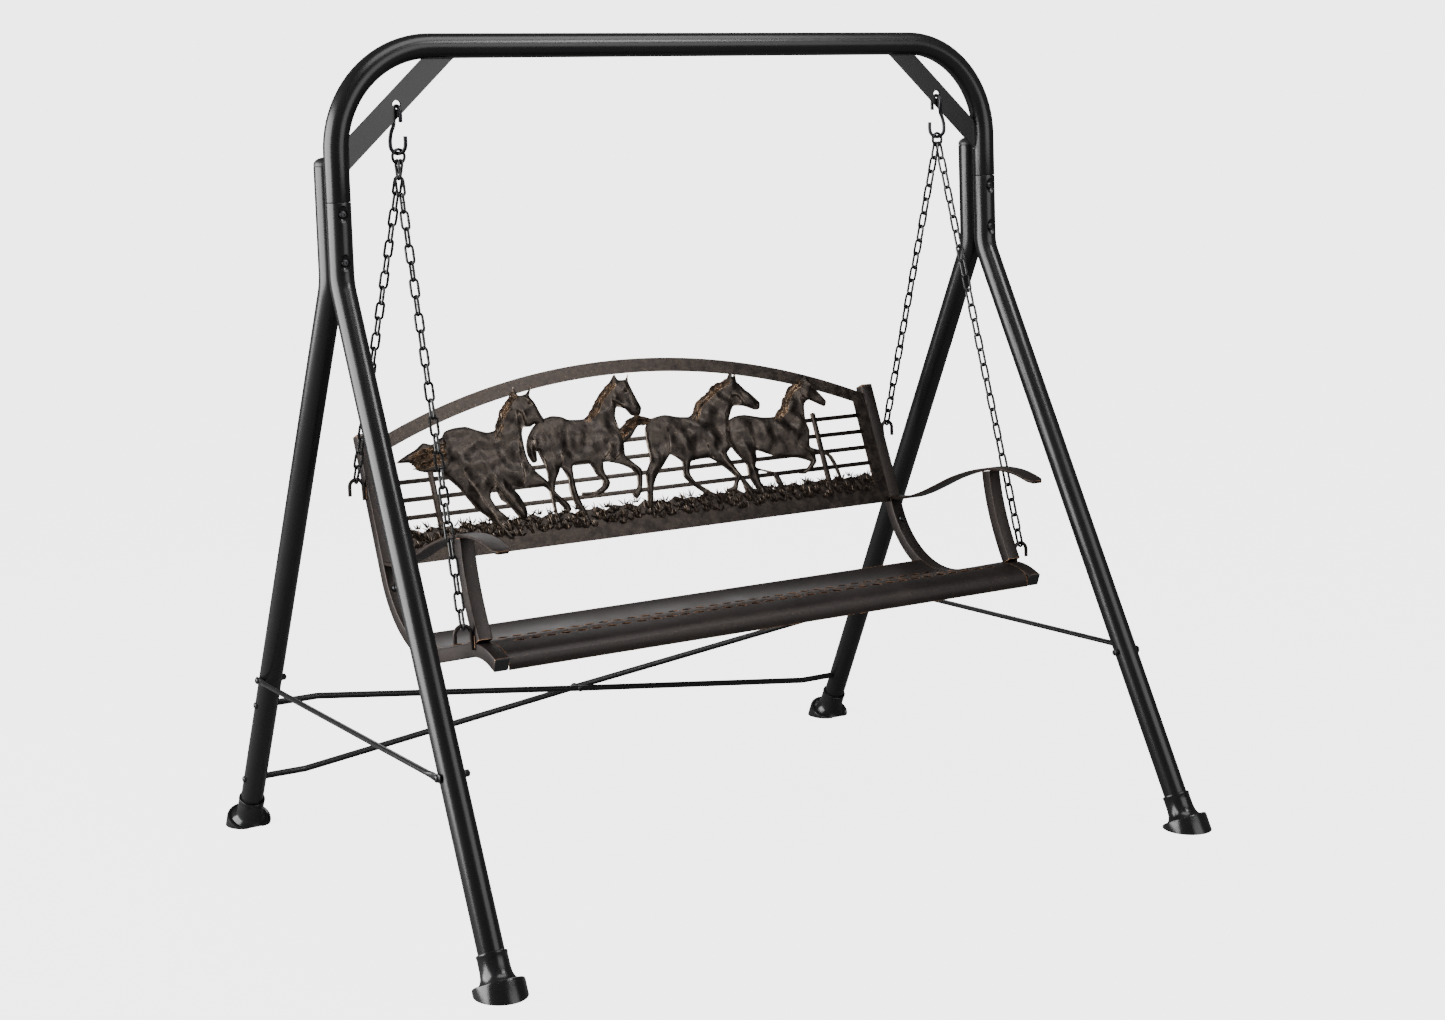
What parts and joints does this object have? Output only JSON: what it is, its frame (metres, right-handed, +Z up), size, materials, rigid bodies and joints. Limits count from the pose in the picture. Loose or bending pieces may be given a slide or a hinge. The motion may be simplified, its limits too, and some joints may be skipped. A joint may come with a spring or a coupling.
{
  "type": "porch swing",
  "caption": "Tube stand with a chain-hung garden bench: splayed legs, cross braces, S-hooks, rings and chains, arched relief back, curved sheet seat and strip arms.",
  "frame": {"origin": "on the ground, in the middle of the four feet", "axes": "+Z up, -Y towards the front, where a sitter looks, +X to the right seen from the front"},
  "size_m": [1.7148, 1.4125, 1.7045],
  "materials": {
    "powder_coat_black": "gloss black powder coat",
    "bolt_steel": "blackened zinc",
    "cap_plastic": "satin black moulded plastic",
    "foot_plastic": "gloss black moulded plastic",
    "hook_steel": "blackened steel wire",
    "chain_black": "gloss black coated chain",
    "bench_bronze": "antique bronze powder coat, copper rubbed on the edges",
    "panel_bronze": "mottled antique bronze with gold rubbed relief"
  },
  "bodies": {
    "stand": {"top_rail": "powder_coat_black", "gusset_left": "powder_coat_black", "gusset_right": "powder_coat_black", "front_leg_left": "powder_coat_black", "front_leg_right": "powder_coat_black", "rear_leg_left": "powder_coat_black", "rear_leg_right": "powder_coat_black", "leg_cap_left": "cap_plastic", "leg_cap_right": "cap_plastic", "foot_front_left": "foot_plastic", "foot_front_right": "foot_plastic", "foot_rear_left": "foot_plastic", "foot_rear_right": "foot_plastic", "leg_bolt_upper_left": "bolt_steel", "leg_bolt_upper_right": "bolt_steel", "leg_bolt_lower_left": "bolt_steel", "leg_bolt_lower_right": "bolt_steel", "side_brace_left": "powder_coat_black", "side_brace_right": "powder_coat_black", "side_brace_bolt_front_left": "bolt_steel", "side_brace_bolt_front_right": "bolt_steel", "side_brace_bolt_rear_left": "bolt_steel", "side_brace_bolt_rear_right": "bolt_steel", "cross_brace_a": "powder_coat_black", "cross_brace_b": "powder_coat_black", "cross_bolt_upper_left": "bolt_steel", "cross_bolt_upper_right": "bolt_steel", "cross_bolt_lower_left": "bolt_steel", "cross_bolt_lower_right": "bolt_steel", "cross_bolt_middle": "bolt_steel"},
    "s_hook_left": {"s_hook_left": "hook_steel"},
    "ring_left": {"ring_left": "hook_steel"},
    "chain_front_left": {"chain_front_left": "chain_black"},
    "chain_rear_left": {"chain_rear_left": "chain_black"},
    "s_hook_right": {"s_hook_right": "hook_steel"},
    "ring_right": {"ring_right": "hook_steel"},
    "chain_front_right": {"chain_front_right": "chain_black"},
    "chain_rear_right": {"chain_rear_right": "chain_black"},
    "bench": {"side_rail_left": "bench_bronze", "side_rail_right": "bench_bronze", "rail_cap_top_left": "cap_plastic", "rail_cap_top_right": "cap_plastic", "rail_cap_front_left": "cap_plastic", "rail_cap_front_right": "cap_plastic", "chain_hook_front_left": "bench_bronze", "chain_hook_front_right": "bench_bronze", "chain_hook_rear_left": "bench_bronze", "chain_hook_rear_right": "bench_bronze", "arm_left": "bench_bronze", "arm_right": "bench_bronze", "arm_post_left": "bench_bronze", "arm_post_right": "bench_bronze", "back_panel": "panel_bronze", "seat_sheet": "bench_bronze", "seat_tube_front": "bench_bronze", "seat_tube_rear": "bench_bronze", "rail_bolt_left": "bolt_steel", "rail_bolt_right": "bolt_steel"}
  },
  "joints": [
    {"name": "hook_swing_left", "type": "hinge", "parent": "stand", "child": "s_hook_left", "pos_m": [-0.656, -0.0388, 1.5513], "axis": [1, 0, 0], "range_deg": [-18, 18]},
    {"name": "ring_swing_left", "type": "hinge", "parent": "s_hook_left", "child": "ring_left", "pos_m": [-0.656, -0.0388, 1.4766], "axis": [1, 0, 0], "range_deg": [-10, 10]},
    {"name": "front_sway_left", "type": "hinge", "parent": "ring_left", "child": "chain_front_left", "pos_m": [-0.6597, -0.0388, 1.4526], "axis": [0, 1, 0], "range_deg": [-1, 1]},
    {"name": "rear_sway_left", "type": "hinge", "parent": "ring_left", "child": "chain_rear_left", "pos_m": [-0.6523, -0.0388, 1.4526], "axis": [0, 1, 0], "range_deg": [-1.4, 1.4]},
    {"name": "hook_swing_right", "type": "hinge", "parent": "stand", "child": "s_hook_right", "pos_m": [0.656, -0.0388, 1.5513], "axis": [1, 0, 0], "range_deg": [-18, 18]},
    {"name": "ring_swing_right", "type": "hinge", "parent": "s_hook_right", "child": "ring_right", "pos_m": [0.656, -0.0388, 1.4766], "axis": [1, 0, 0], "range_deg": [-10, 10]},
    {"name": "front_sway_right", "type": "hinge", "parent": "ring_right", "child": "chain_front_right", "pos_m": [0.6597, -0.0388, 1.4526], "axis": [0, 1, 0], "range_deg": [-1, 1]},
    {"name": "rear_sway_right", "type": "hinge", "parent": "ring_right", "child": "chain_rear_right", "pos_m": [0.6523, -0.0388, 1.4526], "axis": [0, 1, 0], "range_deg": [-1.4, 1.4]},
    {"name": "bench_sway", "type": "hinge", "parent": "chain_front_left", "child": "bench", "pos_m": [-0.676, -0.278, 0.579], "axis": [0, 1, 0], "range_deg": [-1, 1]}
  ],
  "couplings": [
    {"joint": "hook_swing_right", "follows": "hook_swing_left", "ratio": 1},
    {"joint": "ring_swing_right", "follows": "ring_swing_left", "ratio": 1},
    {"joint": "front_sway_right", "follows": "front_sway_left", "ratio": 1},
    {"joint": "rear_sway_left", "follows": "front_sway_left", "ratio": 1.355},
    {"joint": "rear_sway_right", "follows": "front_sway_left", "ratio": 1.355},
    {"joint": "bench_sway", "follows": "front_sway_left", "ratio": -1}
  ]
}
